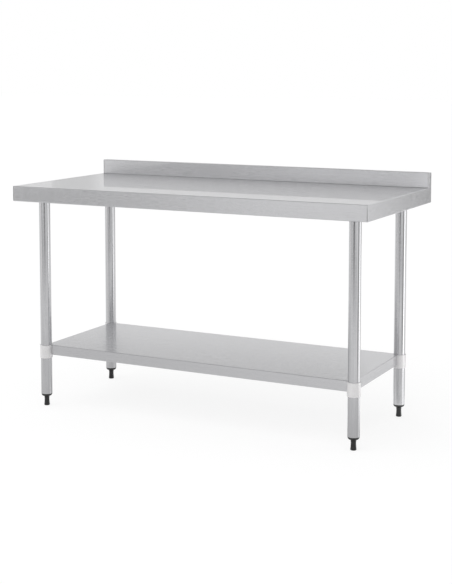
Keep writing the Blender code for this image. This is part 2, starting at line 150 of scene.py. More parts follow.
# a material without nodes, and its tree
def newMaterial(name):
    material = bpy.data.materials.new(name)
    material.use_nodes = True
    material.node_tree.nodes.clear()
    return material, Signal(material.node_tree)


# a Principled shader: what is constant stands on its own sockets, and links feed the rest
def principled(graph, inputs):
    shader = graph.node("BsdfPrincipled", inputs)
    graph.node("OutputMaterial", {"Surface": shader})


sheetFinish = {
    "level": 0.585,         # reflectance of the steel, face on
    "levelSpread": 0.008,   # light and dark streaks along the grain
    "smooth": 0.02,         # roughness between the grain's lines, and in them
    "rough": 0.38,
    "split": (0.44, 0.52),  # noise levels between which the polish turns to grain
    "finePitch": 6400.0,    # grain lines across one metre
    "broadPitch": 160.0,    # wide streaks across one metre
    "cloudPitch": 5.0,      # slow clouds in one metre, and their share of the tint
    "cloudShare": 0.3,
    "stretch": 0.004,       # along the grain, as a share of across it
    "bump": 0.000005,
    "bumpStrength": 0.2,
    "endPanel": 0.002,      # from the end to where the end panel's grain sets in
    "endBlend": 0.0004,
}


# the faintly blue grey of polished chromium steel
def steel(level):
    return (level, level, level * 1.024, 1.0)


# What sheet and tube share: a tone picks the steel's level between level -+ levelSpread, and the
# grain's lines turn the roughness from smooth to rough and bump it.
def grained(finish, tone, lines):
    dark = finish["level"] - finish["levelSpread"]
    light = finish["level"] + finish["levelSpread"]
    rough = lines.rise(*finish["split"]) * (finish["rough"] - finish["smooth"])
    return {
        "Base Color": mixedColour(tone, steel(dark), steel(light)),
        "Metallic": 1.0,
        "Roughness": finish["smooth"] + rough,
        "Normal": bump(lines, finish["bumpStrength"], finish["bump"]),
    }


# Brushed sheet: noise drawn out along the grain. The grain runs along X, and along Y on the end
# panels, where the distance from the middle passes end - endPanel.
def brushedSheet(name, end, finish):
    material, graph = newMaterial(name)
    x, y, z = ownCoordinates(graph)
    start = end - finish["endPanel"]
    onEnd = x.size().rise(start - finish["endBlend"], start)

    def lines(pitch, detail):
        slow = pitch * finish["stretch"]
        alongX = vector(x * slow, y * pitch, z * pitch)
        alongY = vector(x * pitch, y * slow, z * pitch)
        return noise(mixedVector(onEnd, alongX, alongY), 1.0, detail)

    fine = lines(finish["finePitch"], 2.0)
    broad = lines(finish["broadPitch"], 3.0)
    cloud = noise(vector(x, y, z), finish["cloudPitch"])
    tone = broad.rise(0.3, 0.7) * (1.0 - finish["cloudShare"]) + cloud * finish["cloudShare"]
    principled(graph, grained(finish, tone, fine))
    return material


tubeFinish = {
    "level": 0.535,
    "levelSpread": 0.02,
    "smooth": 0.1,          # roughness between the grain's rings, and in them
    "rough": 0.22,
    "split": (0.35, 0.65),  # noise levels between which one turns to the other
    "ringPitch": 1500.0,    # grain lines up one metre
    "streakPitch": 420.0,   # draw marks across one metre
    "stretch": 0.01,
    "bump": 0.000004,
    "bumpStrength": 0.3,
    "anisotropic": 0.85,    # reflections drawn out along the tube
    "turn": 0.25,           # of a circle, from round the tube to along it
}


# Ground tube: noise lines run round it, as a grinding belt leaves them, and faint drawn streaks
# run up it and tint it.
def groundTube(name, finish):
    material, graph = newMaterial(name)
    x, y, z = ownCoordinates(graph)

    def lines(across, along, detail):
        return noise(vector(x * across, y * across, z * along), 1.0, detail)

    ringPitch, streakPitch = finish["ringPitch"], finish["streakPitch"]
    rings = lines(ringPitch * finish["stretch"], ringPitch, 2.0)
    streaks = lines(streakPitch, streakPitch * finish["stretch"], 3.0)
    principled(graph, {
        **grained(finish, streaks.rise(0.3, 0.7), rings),
        "Anisotropic": finish["anisotropic"],
        "Anisotropic Rotation": finish["turn"],
    })
    return material


castFinish = {
    # colour, roughness and share of metal
    "aluminium": ((0.91, 0.9, 0.905), 0.48, 0.5),
    "steel": ((0.46, 0.465, 0.47), 0.42, 0.85),
    "grainPitch": 1600.0,  # grains in one metre
    "mottlePitch": 420.0,  # patches and pits in one metre
    "darkest": 0.88,       # of the colour, in the patches
    "roughSpread": 0.15,
    "bump": 0.00012,
    "bumpStrength": 0.35,
}


# Cast and blasted metal: fine noise for the grains, larger noise for tone, small pits.
def castMetal(name, kind, finish):
    material, graph = newMaterial(name)
    place = graph.node("TexCoord", output="Object")
    grains = noise(place, finish["grainPitch"], 3.0, 0.6)
    mottle = noise(place, finish["mottlePitch"], 4.0, 0.6)
    cells = graph.node("TexVoronoi", {"Vector": place, "Scale": finish["mottlePitch"]})
    relief = grains * 0.7 + cells.rise(0.05, 0.3) * 0.5
    colour, rough, metallic = finish[kind]
    dark = tuple(level * finish["darkest"] for level in colour)
    principled(graph, {
        "Base Color": mixedColour(mottle.rise(0.3, 0.7), (*dark, 1.0), (*colour, 1.0)),
        "Metallic": metallic,
        "Roughness": rough + (grains - 0.5) * finish["roughSpread"],
        "Normal": bump(relief, finish["bumpStrength"], finish["bump"]),
    })
    return material


zincCoat = {
    "dark": (0.34, 0.35, 0.365, 1.0),
    "light": (0.52, 0.53, 0.545, 1.0),
    "spanglePitch": 95.0,  # crystals in one metre
    "driftPitch": 60.0,
    "driftShare": 0.25,
    "rough": 0.34,
    "roughSpread": 0.22,
    "metallic": 0.92,
}


# Hot-dip zinc: Voronoi cells give the spangle, each with its own tone and gloss.
def galvanisedSheet(name, finish):
    material, graph = newMaterial(name)
    place = graph.node("TexCoord", output="Object")
    drift = noise(place, finish["driftPitch"])
    cells = graph.node("TexVoronoi", {"Vector": place, "Scale": finish["spanglePitch"]},
                       output="Color")
    spangle = cells.node("SeparateColor", {0: cells})
    tone = spangle * (1.0 - finish["driftShare"]) + drift * finish["driftShare"]
    principled(graph, {
        "Base Color": mixedColour(tone, finish["dark"], finish["light"]),
        "Metallic": finish["metallic"],
        "Roughness": finish["rough"] + tone * finish["roughSpread"],
        "Normal": bump(spangle, 0.08, 0.0002),
    })
    return material


plating = {
    "tints": ((0.5, 0.515, 0.53, 1.0), (0.56, 0.555, 0.53, 1.0)),
    "patchPitch": 90.0,       # patches in one metre
    "patches": (0.35, 0.65),  # noise levels between which they turn
    "finePitch": 900.0,       # scuffs in one metre
    "fineDetail": 2.0,
    "metallic": 1.0,
    "rough": 0.24,
    "roughSpread": 0.18,
    "bump": 0.00003,
    "bumpStrength": 0.1,
}

# dark heat-tinted weld metal, made dark also as a painted shade line where it shows through the
# corner slits
weldAndSeamShadeFinish = {
    "tints": ((0.16, 0.15, 0.14, 1.0), (0.24, 0.24, 0.25, 1.0)),
    "patchPitch": 150.0,
    "patches": (0.35, 0.7),
    "finePitch": 1200.0,
    "fineDetail": 3.0,
    "metallic": 0.95,
    "rough": 0.38,
    "roughSpread": 0.2,
    "bump": 0.00006,
    "bumpStrength": 0.2,
}


# Zinc plate or weld metal: slow noise tints it in patches, and fine noise roughens it.
def patchedMetal(name, finish):
    material, graph = newMaterial(name)
    place = graph.node("TexCoord", output="Object")
    patches = noise(place, finish["patchPitch"], 3.0).rise(*finish["patches"])
    fine = noise(place, finish["finePitch"], finish["fineDetail"])
    principled(graph, {
        "Base Color": mixedColour(patches, *finish["tints"]),
        "Metallic": finish["metallic"],
        "Roughness": finish["rough"] + fine * finish["roughSpread"],
        "Normal": bump(fine, finish["bumpStrength"], finish["bump"]),
    })
    return material


plastic = {
    "clean": (0.012, 0.012, 0.0125, 1.0),
    "dusty": (0.03, 0.03, 0.031, 1.0),
    "dustPitch": 130.0,
    "grainPitch": 1800.0,
    "rough": 0.34,
    "roughSpread": 0.16,
}


# Moulded black plastic: small cells give a fine leathery grain, and noise leaves dusty scuffs.
def mouldedPlastic(name, finish):
    material, graph = newMaterial(name)
    place = graph.node("TexCoord", output="Object")
    cells = {"Vector": place, "Scale": finish["grainPitch"]}
    grain = graph.node("TexVoronoi", cells, {"feature": "SMOOTH_F1"})
    dust = noise(place, finish["dustPitch"], 4.0).rise(0.45, 0.75)
    principled(graph, {
        "Base Color": mixedColour(dust, finish["clean"], finish["dusty"]),
        "Metallic": 0.0,
        "Roughness": finish["rough"] + dust * finish["roughSpread"],
        "Normal": bump(grain, 0.12, 0.00006),
    })
    return material


topLow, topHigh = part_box("worktop")
shelfLow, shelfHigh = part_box("undershelf")
materials = {
    "worktop": brushedSheet("worktopSteel", topHigh.x, sheetFinish),
    "shelf": brushedSheet("shelfSteel", shelfHigh.x, sheetFinish),
    "tube": groundTube("legTube", tubeFinish),
    "cast": castMetal("castAluminium", "aluminium", castFinish),
    "socket": castMetal("socketSteel", "steel", castFinish),
    "galvanised": galvanisedSheet("galvanisedChannel", zincCoat),
    "zinc": patchedMetal("zincFastener", plating),
    "insert": mouldedPlastic("insertPlastic", plastic),
    "foot": mouldedPlastic("footPlastic", plastic),
    "weld": patchedMetal("weldMetalAndSeamShade", weldAndSeamShadeFinish),
}
print("finishes made:", len(materials))


# rows x columns of points as one part of a piece, which is its points and its quads, joined round
# where the grid closes on itself
def gridPart(points, closeRows=False, closeColumns=False):
    index = np.arange(points.shape[0] * points.shape[1]).reshape(points.shape[:2])
    if closeRows:
        index = np.vstack([index, index[:1]])
    if closeColumns:
        index = np.hstack([index, index[:, :1]])
    corners = [index[:-1, :-1], index[1:, :-1], index[1:, 1:], index[:-1, 1:]]
    return points.reshape(-1, 3), np.stack(corners, -1).reshape(-1, 4).tolist()


# parts put in one mesh: doubles merged, faces turned outwards, smooth below the sharp angle
def meshOf(parts, sharp=35.0):
    points = np.concatenate([part[0] for part in parts])
    starts = np.cumsum([0] + [len(part[0]) for part in parts])
    faces = [[start + i for i in face] for start, part in zip(starts, parts) for face in part[1]]
    mesh = bpy.data.meshes.new("part")
    mesh.from_pydata(points.tolist(), [], faces)
    shape = bmesh.new()
    shape.from_mesh(mesh)
    bmesh.ops.remove_doubles(shape, verts=shape.verts, dist=1e-6)
    bmesh.ops.recalc_face_normals(shape, faces=shape.faces)
    shape.to_mesh(mesh)
    shape.free()
    smoothed(mesh, sharp)
    return mesh


# smooth shading, but sharp where faces meet at more than an angle in degrees
def smoothed(mesh, sharp):
    mesh.shade_smooth()
    mesh.set_sharp_from_angle(angle=math.radians(sharp))


# an object at the origin for a mesh, which takes its name and material
def linked(name, mesh, material=None):
    mesh.name = name
    item = bpy.data.objects.new(name, mesh)
    bpy.context.scene.collection.objects.link(item)
    if material:
        mesh.materials.clear()
        mesh.materials.append(material)
    return item


# a modifier of a kind with its settings
def modify(item, kind, **settings):
    step = item.modifiers.new(kind.lower(), kind)
    for name, value in settings.items():
        setattr(step, name, value)


# a finished piece: it rides on a body, takes its finish by name and stands for CAD nodes
def settle(name, mesh, material, body, slot, *nodes):
    item = linked(name, mesh, materials[material])
    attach(item, body)
    if nodes:
        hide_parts(*nodes)
    return item


# An outline whose corners (x, y, radius) are rounded: each becomes an arc that touches both sides,
# with centre = corner + bisector * radius / sin(half the angle). An open one keeps its two ends.
def filleted(corners, steps=6):
    given = np.array(corners, float)
    point, radius = given[:, :2], given[:, 2]
    toLast = np.roll(point, 1, axis=0) - point
    toNext = np.roll(point, -1, axis=0) - point
    toLast /= np.linalg.norm(toLast, axis=1, keepdims=True)
    toNext /= np.linalg.norm(toNext, axis=1, keepdims=True)
    half = np.arccos(np.clip((toLast * toNext).sum(1), -1, 1)) / 2
    half = np.clip(half, 0.01, math.pi / 2 - 1e-6)
    bisector = toLast + toNext
    bisector /= np.maximum(np.linalg.norm(bisector, axis=1, keepdims=True), 1e-9)
    centre = point + bisector * (radius / np.sin(half))[:, None]
    spoke = point + toLast * (radius / np.tan(half))[:, None] - centre
    side = np.sign(toLast[:, 0] * toNext[:, 1] - toLast[:, 1] * toNext[:, 0])
    sweep = -side * (math.pi - 2 * half)
    turn = sweep[:, None] * np.linspace(0, 1, steps + 1)
    cosine, sine = np.cos(turn), np.sin(turn)
    arcX = centre[:, :1] + spoke[:, :1] * cosine - spoke[:, 1:] * sine
    arcY = centre[:, 1:] + spoke[:, :1] * sine + spoke[:, 1:] * cosine
    outline = np.stack([arcX, arcY], -1).reshape(-1, 2)
    apart = np.linalg.norm(outline - np.roll(outline, 1, axis=0), axis=1) > 1e-7
    return outline[apart]


# a profile of (radius, height) turned round Z: x = r cos a, y = r sin a, z = height
def turned(profile, sides, centre=(0, 0, 0)):
    radius, height = np.array(profile).T
    angle = np.arange(sides) * (2 * math.pi / sides)
    rows = np.repeat(height[:, None], sides, axis=1)
    across, along = np.outer(radius, np.cos(angle)), np.outer(radius, np.sin(angle))
    return np.stack([across, along, rows], -1) + centre


# a closed (radius, height) outline turned into a ring or a tube
def ringPart(corners, sides, centre=(0, 0, 0), steps=6):
    return gridPart(turned(filleted(corners, steps), sides, centre), True, True)


# a lower outer edge rounded: (radius, height) = (wide + edge cos a, low + edge + edge sin a)
def quarterArc(wide, low, edge):
    angle = np.linspace(0, -math.pi / 2, 8)
    return np.stack([wide + edge * np.cos(angle), low + edge + edge * np.sin(angle)], -1)


# a flat (x, y) outline carried up from low to high, with a face over each end
def prismPart(outline, low, high):
    flat = np.array(outline)
    levels = np.array([low, high])[:, None] * np.ones((1, len(flat)))
    points = np.concatenate([np.stack([flat, flat]), levels[..., None]], -1)
    ordered = list(range(len(flat)))
    sides, quads = gridPart(points, False, True)
    return sides, quads + [ordered, [len(flat) + i for i in reversed(ordered)]]


# points moved so that their own Z lies along a direction from a new origin, and X stays level
def aimed(points, origin, direction):
    ahead = np.array(direction, float) / np.linalg.norm(direction)
    level = np.cross((0.0, 0.0, 1.0), ahead)
    level /= np.linalg.norm(level)
    basis = np.stack([level, np.cross(ahead, level), ahead])
    return points @ basis + np.array(origin)


# a round bar with rounded ends: its (radius, height) profile turned, then aimed
def rodPart(radius, start, end, sides, origin, direction, edge=0.0):
    profile = filleted([(0, end, 0), (radius, end, edge), (radius, start, edge), (0, start, 0)], 4)
    points, faces = gridPart(turned(profile, sides), False, True)
    return aimed(points, origin, direction), faces


# an upright round cutter: a radius from low to high turned round (x, y), closed at both ends
def shortBar(radius, low, high, sides, x, y):
    profile = [(0, high), (radius, high), (radius, low), (0, low)]
    return gridPart(turned(profile, sides, (x, y, 0)), False, True)


# a copy of a mesh turned about Z and set on a point
def placed(mesh, point, degrees=0):
    copy = mesh.copy()
    spin = math.radians(degrees)
    copy.transform(Matrix.Translation(point) @ Matrix.Rotation(spin, 4, "Z"))
    return copy


sliver = 2e-6  # metres; points nearer than this are one point


# the mesh that an item's modifiers leave, without slivers; the item and its helpers go
def applied(item, *helpers):
    depsgraph = bpy.context.evaluated_depsgraph_get()
    mesh = bpy.data.meshes.new_from_object(item.evaluated_get(depsgraph))
    for used in (item, *helpers):
        bpy.data.objects.remove(used, do_unlink=True)
    shape = bmesh.new()
    shape.from_mesh(mesh)
    bmesh.ops.remove_doubles(shape, verts=shape.verts, dist=sliver)
    bmesh.ops.dissolve_degenerate(shape, edges=shape.edges, dist=sliver)
    shape.to_mesh(mesh)
    shape.free()
    return mesh


# exact Booleans of an item with some parts, whose objects are handed back
def cutWith(item, parts, operation="DIFFERENCE"):
    helpers = [linked("helper", meshOf([part])) for part in parts]
    for helper in helpers:
        modify(item, "BOOLEAN", operation=operation, solver="EXACT", object=helper)
    return helpers


# a solid joined with some parts and cut by others
def carved(name, base, joins, cuts):
    item = linked(name, meshOf([base]))
    helpers = cutWith(item, joins, "UNION") + cutWith(item, cuts)
    return applied(item, *helpers)


# faces weigh by their area, so that flats stay flat next to their folds
def weighNormals(item):
    modify(item, "WEIGHTED_NORMAL", mode="FACE_AREA", weight=100, keep_sharp=True)


worktop = {
    "apron": 0.06,
    "upstandHigh": 0.06,
    "upstandThick": 0.032,
    "lip": 0.015,        # turned in under the apron
    "hem": 0.006,        # turned up at the lip's edge
    "sheet": 0.0012,
    "bend": 0.0025,
    "segments": 6,
    "seam": 0.0012,      # width of the corners' open seams
    "seamDeep": 0.003,
    "seamIn": 0.0038,    # from the end to the seam
    "bead": 0.0014,      # radius of the weld bead behind a seam
    "beadInto": 0.0001,  # how far it reaches into the sheet
}


# Sharp panels of a folded tray, open below: its (y, z) outline at both ends with a strip between,
# an end panel over each outline, and two rings under them, the lip inwards and the hem upwards.
def trayPanels(outline, ends, lip, hem):
    section = np.array(outline)
    count = len(section)
    skin = np.empty((2, count, 3))
    skin[..., 0] = np.array(ends)[:, None]
    skin[..., 1:] = section
    front, back, low = section[0, 0], section[-1, 0], section[0, 1]
    centre = np.array([sum(ends) / 2, (front + back) / 2])
    reach = np.array([(ends[1] - ends[0]) / 2, (back - front) / 2])
    signs = np.array([(-1, -1), (1, -1), (1, 1), (-1, 1)])
    inset = np.array([0, lip, lip])[:, None, None]
    plan = centre + signs * (reach - inset)
    level = low + np.array([0, 0, hem])[:, None, None] * np.ones((3, 4, 1))
    rings = np.concatenate([plan, level], -1)
    ordered = list(range(count))
    panels = skin.reshape(-1, 3), [ordered, [count + i for i in reversed(ordered)]]
    return [gridPart(skin), panels, gridPart(rings, False, True)]


# a folded tray: its folds rounded and the steel's thickness given inwards
def foldedTray(name, outline, ends, sizes):
    panels = trayPanels(outline, ends, sizes["lip"], sizes["hem"])
    item = linked(name, meshOf(panels, 180))
    modify(item, "BEVEL", limit_method="ANGLE", angle_limit=math.radians(30), offset_type="OFFSET",
           width=sizes["bend"], segments=sizes["segments"])
    modify(item, "SOLIDIFY", thickness=sizes["sheet"], offset=-1, use_even_offset=True)
    return item


# The folded shell, then a fine upright slit by each end of the front apron and of the upstand's
# face, where the end panel meets it, and a half-round weld bead behind each slit, whose dark weld
# metal is also a painted shade line in the slit: (x, y) = (end + bead cos a, inner face + bead sin
# a) for a from 0 to 180 degrees.
def makeWorktop(sizes):
    front, back = topLow.y, topHigh.y
    rim = topHigh.z
    surface = rim - sizes["upstandHigh"]
    low = surface - sizes["apron"]
    wall = back - sizes["upstandThick"]
    outline = [(front, low), (front, surface), (wall, surface),
               (wall, rim), (back, rim), (back, low)]
    shell = foldedTray("worktopShell", outline, (topLow.x, topHigh.x), sizes)
    half, deep = sizes["seam"] / 2, sizes["seamDeep"]
    bend, bead = sizes["bend"], sizes["bead"]
    angle = np.radians(np.linspace(0, 180, 9))
    arc = np.stack([np.cos(angle), np.sin(angle)], -1) * bead
    walls = (front, low + bend, surface - bend), (wall, surface + bend, rim - bend)
    cutters, beads = [], []
    for end in (topLow.x + sizes["seamIn"], topHigh.x - sizes["seamIn"]):
        for face, foot, top in walls:
            outline = [(end - half, face - deep), (end + half, face - deep),
                       (end + half, face + deep), (end - half, face + deep)]
            cutters.append(prismPart(outline, foot, top))
            root = np.array([end, face + sizes["sheet"] - sizes["beadInto"]])
            beads.append(prismPart(root + arc, foot - bead, top + bead))
    mesh = applied(shell, *cutWith(shell, cutters))
    smoothed(mesh, 35)
    weighNormals(settle("worktopShell", mesh, "worktop", "frame", "worktop_steel", "worktop"))
    # the beads' dark weld metal, seen through the slits, is also a painted shade line at the
    # corners
    settle("seamWeldsAndShade", meshOf(beads, 40), "weld", "frame", "worktop_steel")


makeWorktop(worktop)
print("worktop folded")

leg = {
    "radius": 0.0225,
    "wall": 0.0012,
    "edge": 0.0003,  # rounding of the cut ends
    "sides": 128,
}


# each leg is a tube: its wall's upright section, with rounded corners, turned round Z
def makeLegs(sizes):
    outer = sizes["radius"]
    inner = outer - sizes["wall"]
    edge = sizes["edge"]
    for corner, axis in legAxes.items():
        low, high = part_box(f"leg_{corner}")
        wall = [(outer, high.z, edge), (outer, low.z, edge),
                (inner, low.z, edge), (inner, high.z, edge)]
        mesh = meshOf([ringPart(wall, sizes["sides"], axis, 4)], 60)
        name, node = f"tube_{corner}", f"leg_{corner}"
        weighNormals(settle(name, mesh, "tube", "frame", "leg_tube", node))


makeLegs(leg)
print("legs turned")

shelf = {
    "lip": 0.012,
    "hem": 0.005,
    "sheet": 0.001,
    "bend": 0.0022,
    "segments": 6,
    "notch": 0.0253,   # radius of the corner notches round the collars
    "relief": 0.0022,  # radius and depth of the round reliefs where a fold ends
    "reliefDepth": 0.0036,
    "past": 0.001,     # how far the cutters pass the sheet
    "sides": 96,
    "reliefSides": 24,
}


# A folded tray whose corners are notched by round cutters on the leg axes, with a small round
# relief where each fold meets its notch: (x, y) = axis + notch (cos a, sin a).
def makeShelf(sizes):
    low, high = shelfLow.z, shelfHigh.z
    front, back = shelfLow.y, shelfHigh.y
    outline = [(front, low), (front, high), (back, high), (back, low)]
    tray = foldedTray("shelfTray", outline, (shelfLow.x, shelfHigh.x), sizes)
    above = high + sizes["past"]
    below = low - sizes["past"]
    root = high - sizes["reliefDepth"]
    cutters = []
    for corner, (x, y, _) in legAxes.items():
        cutters.append(shortBar(sizes["notch"], below, above, sizes["sides"], x, y))
        for quarter in (0, 90):
            angle = math.radians(cornerTurns[corner] + quarter)
            endX = x + sizes["notch"] * math.cos(angle)
            endY = y + sizes["notch"] * math.sin(angle)
            bar = shortBar(sizes["relief"], root, above, sizes["reliefSides"], endX, endY)
            cutters.append(bar)
    mesh = applied(tray, *cutWith(tray, cutters))
    smoothed(mesh, 35)
    weighNormals(settle("shelfTray", mesh, "shelf", "shelf", "shelf_steel", "undershelf"))


makeShelf(shelf)
print("undershelf folded")

collar = {
    "bore": 0.0228,
    "ring": 0.025,
    "height": 0.053,
    "edge": 0.0006,      # rounding of the ring's ends
    "lead": 0.0011,      # width and depth of the countersink at the top of the bore
    "leadDeep": 0.0022,
    "earLength": 0.034,  # beyond the ring
    "earThick": 0.0032,
    "earTip": 0.45,      # radius of the ears' ends, as a share of their thickness
    "earInset": 0.0013,  # behind the shelf's outside faces
    "earTop": 0.0025,    # below the shelf's surface
    "earBottom": 0.0375,
    "gusset": 0.0035,
    "boss": 0.0085,
    "bossLength": 0.0095,
    "bossEdge": 0.001,
    "screwDrop": 0.029,  # shelf's surface down to the screw
    "tapped": 0.0043,
    "grain": 0.0008,     # size of the cast skin's facets
    "sides": 128,
    "bossSides": 48,
}


# A ring with two ears, a gusset between them and a boss on the diagonal; the joined solid is
# remeshed and eased, which rounds its edges and fills its corners as in a casting.
def collarMesh(sizes):
    height, ring, bore, edge = sizes["height"], sizes["ring"], sizes["bore"], sizes["edge"]
    sides, bossSides = sizes["sides"], sizes["bossSides"]
    wall = [(ring, 0, edge / 2), (ring, -height, edge), (bore, -height, edge / 2),
            (bore, -sizes["leadDeep"], 0), (bore + sizes["lead"], 0, 0)]
    base = ringPart(wall, sides)
    root = (ring + bore) / 2
    reach = ring + sizes["earLength"]
    near = sizes["earInset"]
    far = near + sizes["earThick"]
    tip = sizes["earThick"] * sizes["earTip"]
    earX = filleted([(root, near, 0), (reach, near, tip), (reach, far, tip), (root, far, 0)], 5)
    earY = earX[::-1, ::-1]
    web = (near + far) / 2
    deep = root / math.sqrt(2)
    gusset = [(root, web), (reach - tip, web), (web, reach - tip), (web, root), (deep, deep)]
    face = ring + sizes["bossLength"]
    beyond = ring + 2 * sizes["bossLength"]
    screw, diagonal = (0, 0, -sizes["screwDrop"]), (1, 1, 0)
    joins = [
        prismPart(earX, -sizes["earBottom"], -sizes["earTop"]),
        prismPart(earY, -sizes["earBottom"], -sizes["earTop"]),
        prismPart(gusset, -near - sizes["gusset"], -near),
        rodPart(sizes["boss"], root, face, bossSides, screw, diagonal, sizes["bossEdge"]),
    ]
    cuts = [
        shortBar(bore, -2 * height, height, sides, 0, 0),
        rodPart(sizes["tapped"], bore / 2, beyond, bossSides, screw, diagonal),
    ]
    item = linked("collarCasting", carved("collarCasting", base, joins, cuts))
    modify(item, "REMESH", mode="VOXEL", voxel_size=sizes["grain"], use_smooth_shade=True)
    modify(item, "SMOOTH", factor=0.5, iterations=3)
    return applied(item)


# one casting, copied to each leg: turned by its corner and set at the shelf's surface
def makeCollars(sizes):
    casting = collarMesh(sizes)
    for corner, turn in cornerTurns.items():
        point = legAxes[corner] + (0, 0, shelfHigh.z)
        name, node = f"casting_{corner}", f"shelf_collar_{corner}"
        settle(name, placed(casting, point, turn), "cast", "shelf", "cast_aluminium", node)


makeCollars(collar)
print("collars cast")


# A thread's rows as radii, heights and angles: radius = core + depth * ridge * fade, with
# ridge = 1.25 - 1.6 |2 phase - 1| held from 0 to 1, phase = the part of a turn in
# height / pitch - angle / turn, and fade = distance from the nearer end / soft, at most 1.
def threadRows(sizes, low, high, soft):
    pitch, depth = sizes["pitch"], sizes["depth"]
    angle = np.arange(sizes["sides"]) * (2 * math.pi / sizes["sides"])
    height = np.linspace(low, high, int((high - low) / pitch * sizes["rowsPerTurn"]))[:, None]
    fade = np.clip(np.minimum(height - low, high - height) / soft, 0, 1)
    phase = np.mod(height / pitch - angle / (2 * math.pi), 1.0)
    ridge = np.clip(1.25 - 1.6 * np.abs(2 * phase - 1), 0, 1)
    return sizes["radius"] - depth + depth * ridge * fade, height, angle


# rows of a turned surface whose radius differs with the angle
def lobed(radius, height, angle):
    rows = np.broadcast_to(height, radius.shape)
    return np.stack([radius * np.cos(angle), radius * np.sin(angle), rows], -1)


stud = {
    "radius": 0.005,
    "pitch": 0.0015,
    "depth": 0.0007,
    "sides": 32,
    "rowsPerTurn": 9,
}


# a threaded rod from low to high: the thread's rows with a pole at each end
def threadedPart(sizes, low, high, centre):
    radius, height, angle = threadRows(sizes, low, high, sizes["pitch"])
    poles = np.zeros((1, sizes["sides"]))
    radius = np.vstack([poles, radius, poles])
    height = np.vstack([height[:1], height, height[-1:]])
    return gridPart(lobed(radius, height, angle) + centre, False, True)


# a threaded stud on each leg's axis, as long as its node
def makeStuds(sizes):
    for corner, axis in legAxes.items():
        low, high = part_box(f"foot_stud_{corner}")
        mesh = meshOf([threadedPart(sizes, low.z, high.z, axis)], 60)
        name, node = f"threadedStud_{corner}", f"foot_stud_{corner}"
        settle(name, mesh, "zinc", f"foot_{corner}", "zinc_fastener", node)


makeStuds(stud)

grub = {
    "radius": 0.004,
    "pitch": 0.00125,
    "depth": 0.00055,
    "length": 0.012,
    "key": 0.004,        # across the flats of the key socket
    "keyDepth": 0.004,
    "keyLead": 0.0002,
    "keyPoint": 0.0006,  # the drill's point under the key socket
    "chamfer": 0.0007,
    "clear": 0.0003,     # between its point and the tube
    "sides": 36,
    "rowsPerTurn": 8,
}


# A grub screw along Z: a flat point, the thread, then the key socket, whose radius is
# half the key / cos(the angle from the nearest flat's middle).
def grubPart(sizes):
    length = sizes["length"]
    radius, height, angle = threadRows(sizes, 0, length, sizes["chamfer"])
    sixth = math.pi / 3
    flat = sizes["key"] / 2 / np.cos(np.mod(angle, sixth) - sixth / 2)
    floor, lead = length - sizes["keyDepth"], sizes["keyLead"]
    socketRows = [(flat + lead, length), (flat, length - lead), (flat, floor),
                  (flat * 0, floor - sizes["keyPoint"])]
    radius = np.vstack([flat * 0, radius] + [row for row, _ in socketRows])
    height = np.vstack([[[0.0]], height] + [[[level]] for _, level in socketRows])
    return gridPart(lobed(radius, height, angle), False, True)


# One screw, copied to each socket and collar, and aimed outwards on the corner's diagonal:
# its point stands at axis + (leg radius + clear) * (cos a, sin a).
def makeGrubs(sizes):
    points, faces = grubPart(sizes)
    out = leg["radius"] + sizes["clear"]
    for kind, body in (("socket_screw", "frame"), ("collar_screw", "shelf")):
        for corner, turn in cornerTurns.items():
            spin = math.radians(turn + 45)
            direction = (math.cos(spin), math.sin(spin), 0)
            level = middleOf(f"{kind}_{corner}")[2]
            start = legAxes[corner] + (0, 0, level) + np.array(direction) * out
            mesh = meshOf([(aimed(points, start, direction), faces)], 50)
            node = f"{kind}_{corner}"
            settle(f"grub_{node}", mesh, "zinc", body, "zinc_fastener", node)


makeGrubs(grub)
print("screws and studs threaded")

insert = {
    "skirt": 0.021,
    "skirtWall": 0.0026,
    "depth": 0.03,
    "lead": 0.0012,
    "rim": 0.0218,
    "rimHigh": 0.0035,
    "rimRound": 0.0008,  # of the rim's lower edge
    "rimLead": 0.0002,   # of its upper edge
    "bowlDrop": 0.0075,
    "footTop": 0.0102,
    "bore": 0.0053,
    "boss": 0.01256,
    "floor": 0.005,
    "rib": 0.0018,
    "ribDrop": 0.006,
    "ribInto": 0.001,    # how far the ribs reach into boss and skirt
    "sides": 96,
}


# The plug's section turned round Z: a skirt with a tapered lead, a rim, a bowl that is a quarter of
# an ellipse, upright at the rim and level at the foot, r = foot + (rim - foot) cos q,
# z = -drop sin q, and a boss inside. Four upright ribs join boss and skirt.
def insertMesh(sizes):
    rimLow = -sizes["rimHigh"]
    bottom = rimLow - sizes["bowlDrop"]
    edge = sizes["rimRound"]
    quarter = np.linspace(0, math.pi / 2, 15)[1:]
    wide, narrow = sizes["rim"] - edge, sizes["footTop"]
    bowl = np.stack([narrow + (wide - narrow) * np.cos(quarter),
                     rimLow - sizes["bowlDrop"] * np.sin(quarter)], -1)
    rim = quarterArc(wide, rimLow, edge)
    bore, boss, skirt = sizes["bore"], sizes["boss"], sizes["skirt"]
    pocket = skirt - sizes["skirtWall"]
    depth, floor, lead = sizes["depth"], sizes["floor"], sizes["lead"]
    inside = [(bore, bottom), (bore, depth), (boss, depth), (boss, floor),
              (pocket, floor), (pocket, depth), (skirt - lead, depth),
              (skirt, depth - 2 * lead), (skirt, 0), (sizes["rim"] - sizes["rimLead"], 0)]
    profile = np.concatenate([rim, bowl, inside])
    base = gridPart(turned(profile, sizes["sides"]), True, True)
    half = sizes["rib"] / 2
    near, far = boss - sizes["ribInto"], pocket + sizes["ribInto"]
    ribs = []
    for degrees in (45, 135, 225, 315):
        spin = math.radians(degrees)
        ahead = np.array((math.cos(spin), math.sin(spin)))
        across = np.array((-math.sin(spin), math.cos(spin)))
        outline = [near * ahead - half * across, far * ahead - half * across,
                   far * ahead + half * across, near * ahead + half * across]
        ribs.append(prismPart(outline, floor / 2, depth - sizes["ribDrop"]))
    mesh = carved("insertPlug", base, ribs, [])
    smoothed(mesh, 35)
    return mesh


